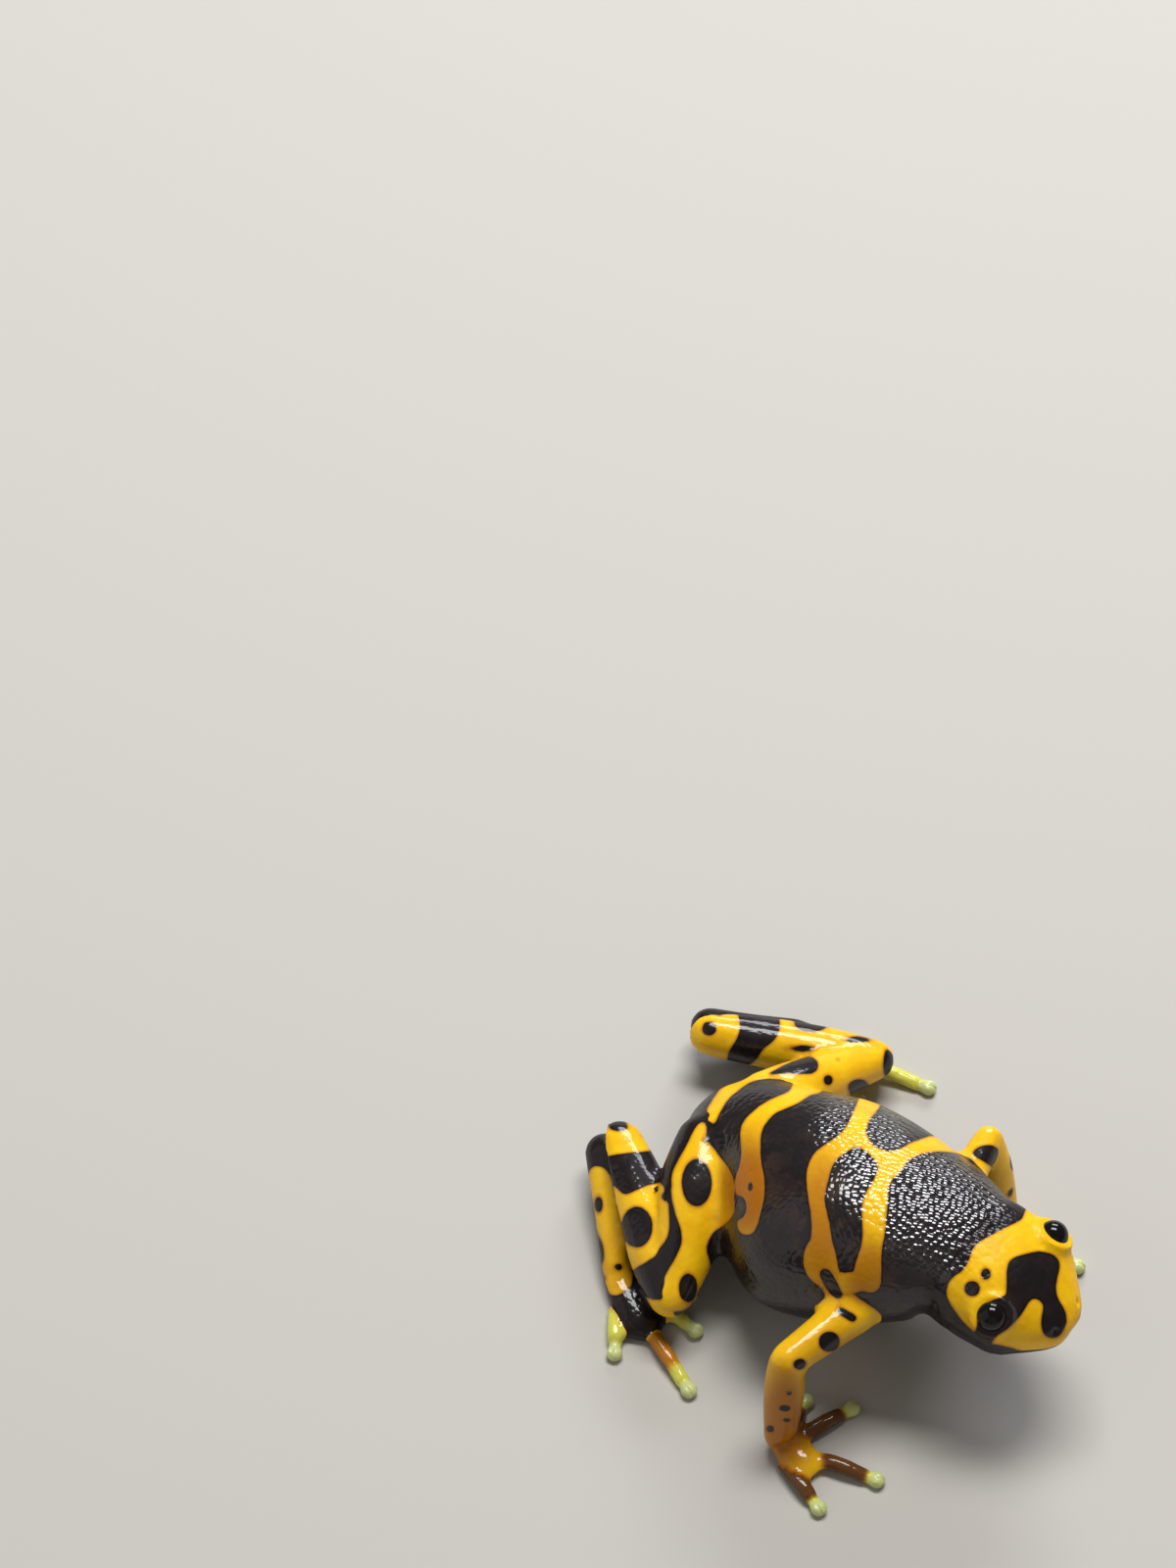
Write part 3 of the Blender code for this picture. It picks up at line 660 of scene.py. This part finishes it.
# The granules stand out most on the nape, and the skin is wettest there. Yellow skin has lower
# granules and is drier, most of all on the right brow. Ovals and their fades are in pixels.
TRUNK_GRANULES = 0.25
HEAD_GRANULES = 0.1
NAPE_OVALS = (((950, 1235), 210, 150, 35), ((880, 1150), 130, 110, 0))
NAPE_FADE = 30
BEHIND_EYE_OVAL = ((996, 1300), 50, 80, 30)
BEHIND_EYE_GRANULES = 0.45
BROW_OVAL = ((1015, 1268), 120, 70, -25)
HEAD_FADE = 12
GRANULE_STEPS = 12
YELLOW_GRANULES = 0.5
LEAST_WET = 0.3
WET_FROM = 0.1
WET_RANGE = 0.6
YELLOW_WET = 0.5
DRIER_BROW = 0.8
granules = np.where(trunk, TRUNK_GRANULES, 0.0) + np.where(head, HEAD_GRANULES, 0.0)
for oval in NAPE_OVALS:
    nape = np.clip(inside_spot(pixels, *oval) / NAPE_FADE, 0, 1)
    granules = np.where(trunk | (head & (field < 0)), np.maximum(granules, nape), granules)
behind_eye = np.clip(inside_spot(pixels, *BEHIND_EYE_OVAL) / HEAD_FADE, 0, 1)
granules = np.where(head, np.maximum(granules, BEHIND_EYE_GRANULES * behind_eye), granules)
granules = spread(skin.data, granules, GRANULE_STEPS) * np.where(field > 0, YELLOW_GRANULES, 1.0)
wet = LEAST_WET + (1 - LEAST_WET) * np.clip((granules - WET_FROM) / WET_RANGE, 0, 1)
wet = np.where((field > 0) & (trunk | head), YELLOW_WET * wet, wet)
brow = np.clip(inside_spot(pixels, *BROW_OVAL) / HEAD_FADE, 0, 1)
wet *= 1 - DRIER_BROW * head * brow

VALUE_STEPS = 3
painted_values = {"marking": field}
for name, values in {"amber": amber, "pale": pale, "granules": granules, "wet": wet}.items():
    painted_values[name] = spread(skin.data, values, VALUE_STEPS)
for name, values in painted_values.items():
    attribute = skin.data.attributes.new(name, "FLOAT", "POINT")
    attribute.data.foreach_set("value", values.astype(np.float32))

# Skin material: moist frog skin. Low round granules half a millimetre across pave the back, and
# the limbs are nearly smooth. Mucus keeps it wet, so a clear coat lies over a dull skin. The marks
# have darker rims, a real dark outline, and the black is a little lighter away from them, which in
# part is painted sheen. Their edges waver a little. Sizes are in mm.
GRANULE = 0.47
GRANULE_HEIGHT = 0.16
GRANULE_DISORDER = 0.75
LIMB_GRANULES = 0.12
EDGE_SOFTNESS = 0.05
EDGE_WOBBLE = 0.08
WOBBLE_LENGTH = 0.7
RIM_WIDTH = 0.2
YELLOW_RIM = 0.22
MOTTLE = 1.6


def srgb(colour):
    """Linear colour from an sRGB hex value."""
    channels = [int(colour[i:i + 2], 16) / 255 for i in (1, 3, 5)]
    return (*[c / 12.92 if c <= 0.04045 else ((c + 0.055) / 1.055) ** 2.4 for c in channels], 1.0)


def add_node(material, kind, settings=None, **links):
    """Adds a shader node, with settings on it or on its inputs, and links to its inputs."""
    node = material.node_tree.nodes.new("ShaderNode" + kind)
    for name, value in (settings or {}).items():
        if hasattr(node, name):
            setattr(node, name, value)
        else:
            node.inputs[int(name) if name.isdigit() else name].default_value = value
    for name, socket in links.items():
        key = name.strip("_").replace("_", " ")
        material.node_tree.links.new(socket, node.inputs[int(key) if key.isdigit() else key])
    return node


def new_material(name):
    material = bpy.data.materials.new(name)
    material.use_nodes = True
    material.node_tree.nodes.clear()
    return material


frog_skin = new_material("moist frog skin")
coordinates = add_node(frog_skin, "TexCoord").outputs["Object"]
painted = {
    name: add_node(frog_skin, "Attribute", {"attribute_name": name}).outputs["Fac"]
    for name in painted_values
}
wobble = add_node(
    frog_skin, "TexNoise", {"Scale": 1 / (WOBBLE_LENGTH * MM), "Detail": 3.0}, Vector=coordinates
).outputs["Fac"]
edge = add_node(
    frog_skin, "Math", {"operation": "MULTIPLY_ADD", "1": EDGE_WOBBLE},
    _0=wobble, _2=painted["marking"],
).outputs[0]
edge = add_node(
    frog_skin, "Math", {"operation": "SUBTRACT", "1": EDGE_WOBBLE / 2}, _0=edge
).outputs[0]
mottle = add_node(
    frog_skin, "TexNoise", {"Scale": 1 / (MOTTLE * MM), "Detail": 5.0, "Roughness": 0.65},
    Vector=coordinates,
).outputs["Fac"]

# Where each colour shows: a value, and the two levels of it between which its share eases from
# 0 to 1. The mottle is soft cloudy change of the colour, over a millimetre or two.
shares = {}
for name, value, low, high in (
    ("yellow", edge, -EDGE_SOFTNESS, EDGE_SOFTNESS),
    ("black off the rim", edge, -RIM_WIDTH / 3, -RIM_WIDTH),
    ("yellow off the rim", edge, 0.0, YELLOW_RIM),
    ("black mottle", mottle, 0.42, 0.62),
    ("dull mottle", mottle, 0.45, 0.6),
    ("yellow mottle", mottle, 0.35, 0.65),
):
    shares[name] = add_node(
        frog_skin, "MapRange",
        {"interpolation_type": "SMOOTHSTEP", "From Min": low, "From Max": high}, Value=value,
    ).outputs["Result"]
# Under the amber, which is partly painted shade, the black turns to a dull brown in cloudy places.
shares["dull"] = add_node(
    frog_skin, "Math", {"operation": "MULTIPLY"}, _0=painted["amber"], _1=shares["dull mottle"]
).outputs[0]
# Past 1, the amber goes on to brown and the pale ends to the discs' own colour.
for name, value in {"brown": painted["amber"], "disc": painted["pale"]}.items():
    shares[name] = add_node(
        frog_skin, "Math", {"operation": "SUBTRACT", "1": 1.0}, _0=value
    ).outputs[0]

black = add_node(
    frog_skin, "Mix", {"data_type": "RGBA", "6": srgb("#191112"), "7": srgb("#241819")},
    _0=shares["black mottle"],
).outputs[2]
yellow = add_node(
    frog_skin, "Mix", {"data_type": "RGBA", "6": srgb("#F9BC0A"), "7": srgb("#FFCA12")},
    _0=shares["yellow mottle"],
).outputs[2]
black = add_node(
    frog_skin, "Mix", {"data_type": "RGBA", "7": srgb("#3A2818")}, _0=shares["dull"], _6=black
).outputs[2]
# The black is darkest in a thin rim at the marks' edges, a real dark outline, and a little lighter
# away from it, which in part is painted sheen.
black = add_node(
    frog_skin, "Mix", {"data_type": "RGBA", "6": srgb("#0E0808")},
    _0=shares["black off the rim"], _7=black,
).outputs[2]
yellow = add_node(
    frog_skin, "Mix", {"data_type": "RGBA", "6": srgb("#D49206")},
    _0=shares["yellow off the rim"], _7=yellow,
).outputs[2]
# Over the yellow: amber, partly painted shade, then brown, the pale digit ends and the discs.
for share, colour in (
    (painted["amber"], "#B46C08"), (shares["brown"], "#3E2716"),
    (painted["pale"], "#DEDB5A"), (shares["disc"], "#D3DA92"),
):
    yellow = add_node(
        frog_skin, "Mix", {"data_type": "RGBA", "7": srgb(colour)}, _0=share, _6=yellow
    ).outputs[2]
skin_colour = add_node(
    frog_skin, "Mix", {"data_type": "RGBA"}, _0=shares["yellow"], _6=black, _7=yellow
).outputs[2]

# Each granule is a low dome, whose height falls with the square of the way from its middle.
from_middle = add_node(
    frog_skin, "TexVoronoi",
    {"feature": "F1", "Scale": 1 / (GRANULE * MM), "Randomness": GRANULE_DISORDER},
    Vector=coordinates,
).outputs["Distance"]
dome = add_node(
    frog_skin, "Math", {"operation": "MULTIPLY"}, _0=from_middle, _1=from_middle
).outputs[0]
granular = add_node(
    frog_skin, "MapRange", {"interpolation_type": "SMOOTHSTEP", "To Min": LIMB_GRANULES},
    Value=painted["granules"],
).outputs["Result"]
relief = add_node(frog_skin, "Math", {"operation": "MULTIPLY"}, _0=dome, _1=granular).outputs[0]
bump = add_node(
    frog_skin, "Bump", {"Strength": 1.0, "Distance": GRANULE_HEIGHT * MM, "invert": True},
    Height=relief,
).outputs["Normal"]
shader = add_node(
    frog_skin, "BsdfPrincipled",
    {
        "Roughness": 0.5, "IOR": 1.4, "Specular IOR Level": 0.15, "Coat Roughness": 0.1,
        "Coat IOR": 1.85,
    },
    Base_Color=skin_colour, Normal=bump, Coat_Weight=painted["wet"], Coat_Normal=bump,
)
add_node(frog_skin, "OutputMaterial", Surface=shader.outputs[0])

skin.data.materials.clear()
skin.data.materials.append(frog_skin)
skin.data.transform(Matrix.Scale(MM, 4))
skin.data.shade_smooth()
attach(skin, "root")
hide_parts(*flesh_nodes)

# Eyes. A real one is a wet ball with a clear cornea over an iris so dark that it looks black. Each
# is one smooth ball here, held by its lids, and its clear coat gives the sharp wet glint.
eye_black = new_material("wet black eye")
eye_shader = add_node(
    eye_black, "BsdfPrincipled",
    {
        "Base Color": srgb("#14100F"), "Roughness": 0.5, "Specular IOR Level": 0.0,
        "Coat Weight": 1.0, "Coat Roughness": 0.03, "Coat IOR": 1.38,
    },
)
add_node(eye_black, "OutputMaterial", Surface=eye_shader.outputs[0])
for side in SIDES:
    clear_selection()
    bpy.ops.mesh.primitive_uv_sphere_add(
        segments=BALL_SEGMENTS, ring_count=BALL_RINGS,
        radius=EYE_RADIUS * MM, location=eye_middle[side] * MM,
    )
    eye = bpy.context.object
    eye.name = f"eyeball_{side}"
    bpy.ops.object.transform_apply(location=True, rotation=True, scale=True)
    eye.data.materials.append(eye_black)
    eye.data.shade_smooth()
    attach(eye, "root")
    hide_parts(f"eye_{side}")

# Floor and light. A plain pale floor, two soft lights over the frog's left shoulder, which shine on
# the wet back, one from the right and behind, a weak warm fill, and a dim pale sky.
FLOOR_SIZE = 4.0
SKY_STRENGTH = 0.13
clear_selection()
bpy.ops.mesh.primitive_plane_add(size=FLOOR_SIZE, location=(0, 0, cad_bounds[0].z))
floor = bpy.context.object
floor.name = "floor"
floor_material = new_material("pale paper")
floor_shader = add_node(
    floor_material, "BsdfPrincipled", {"Base Color": srgb("#C8C4BC"), "Roughness": 0.9}
)
add_node(floor_material, "OutputMaterial", Surface=floor_shader.outputs[0])
floor.data.materials.append(floor_material)


def add_light(name, direction, distance, sizes, power, colour="#FFFFFF"):
    """Oblong soft light, its sizes level and upright, that shines at the frog from a direction."""
    data = bpy.data.lights.new(name, "AREA")
    data.color = srgb(colour)[:3]
    data.shape = "RECTANGLE"
    data.size, data.size_y = sizes
    data.energy = power
    light = bpy.data.objects.new(name, data)
    direction = Vector(direction).normalized()
    light.location = direction * distance
    light.rotation_euler = direction.to_track_quat("Z", "Y").to_euler()
    bpy.context.scene.collection.objects.link(light)


add_light("key light", (0.31, 0.22, 0.93), 0.6, (0.36, 0.16), 3.0)
add_light("shoulder light", (0.73, 0.46, 0.50), 0.6, (0.3, 0.14), 1.7, "#F2F6FF")
add_light("side light", (-0.75, 0.45, 0.48), 1.2, (1.4, 1.4), 2.2)
add_light("fill light", (-0.6, -0.75, 0.35), 0.9, (1.0, 1.0), 0.6, "#FFE8D0")
world = bpy.data.worlds.new("pale sky")
world.use_nodes = True
background = world.node_tree.nodes["Background"]
background.inputs["Color"].default_value = srgb("#E8ECF2")
background.inputs["Strength"].default_value = SKY_STRENGTH
bpy.context.scene.world = world
bpy.context.scene.view_settings.view_transform = "Standard"
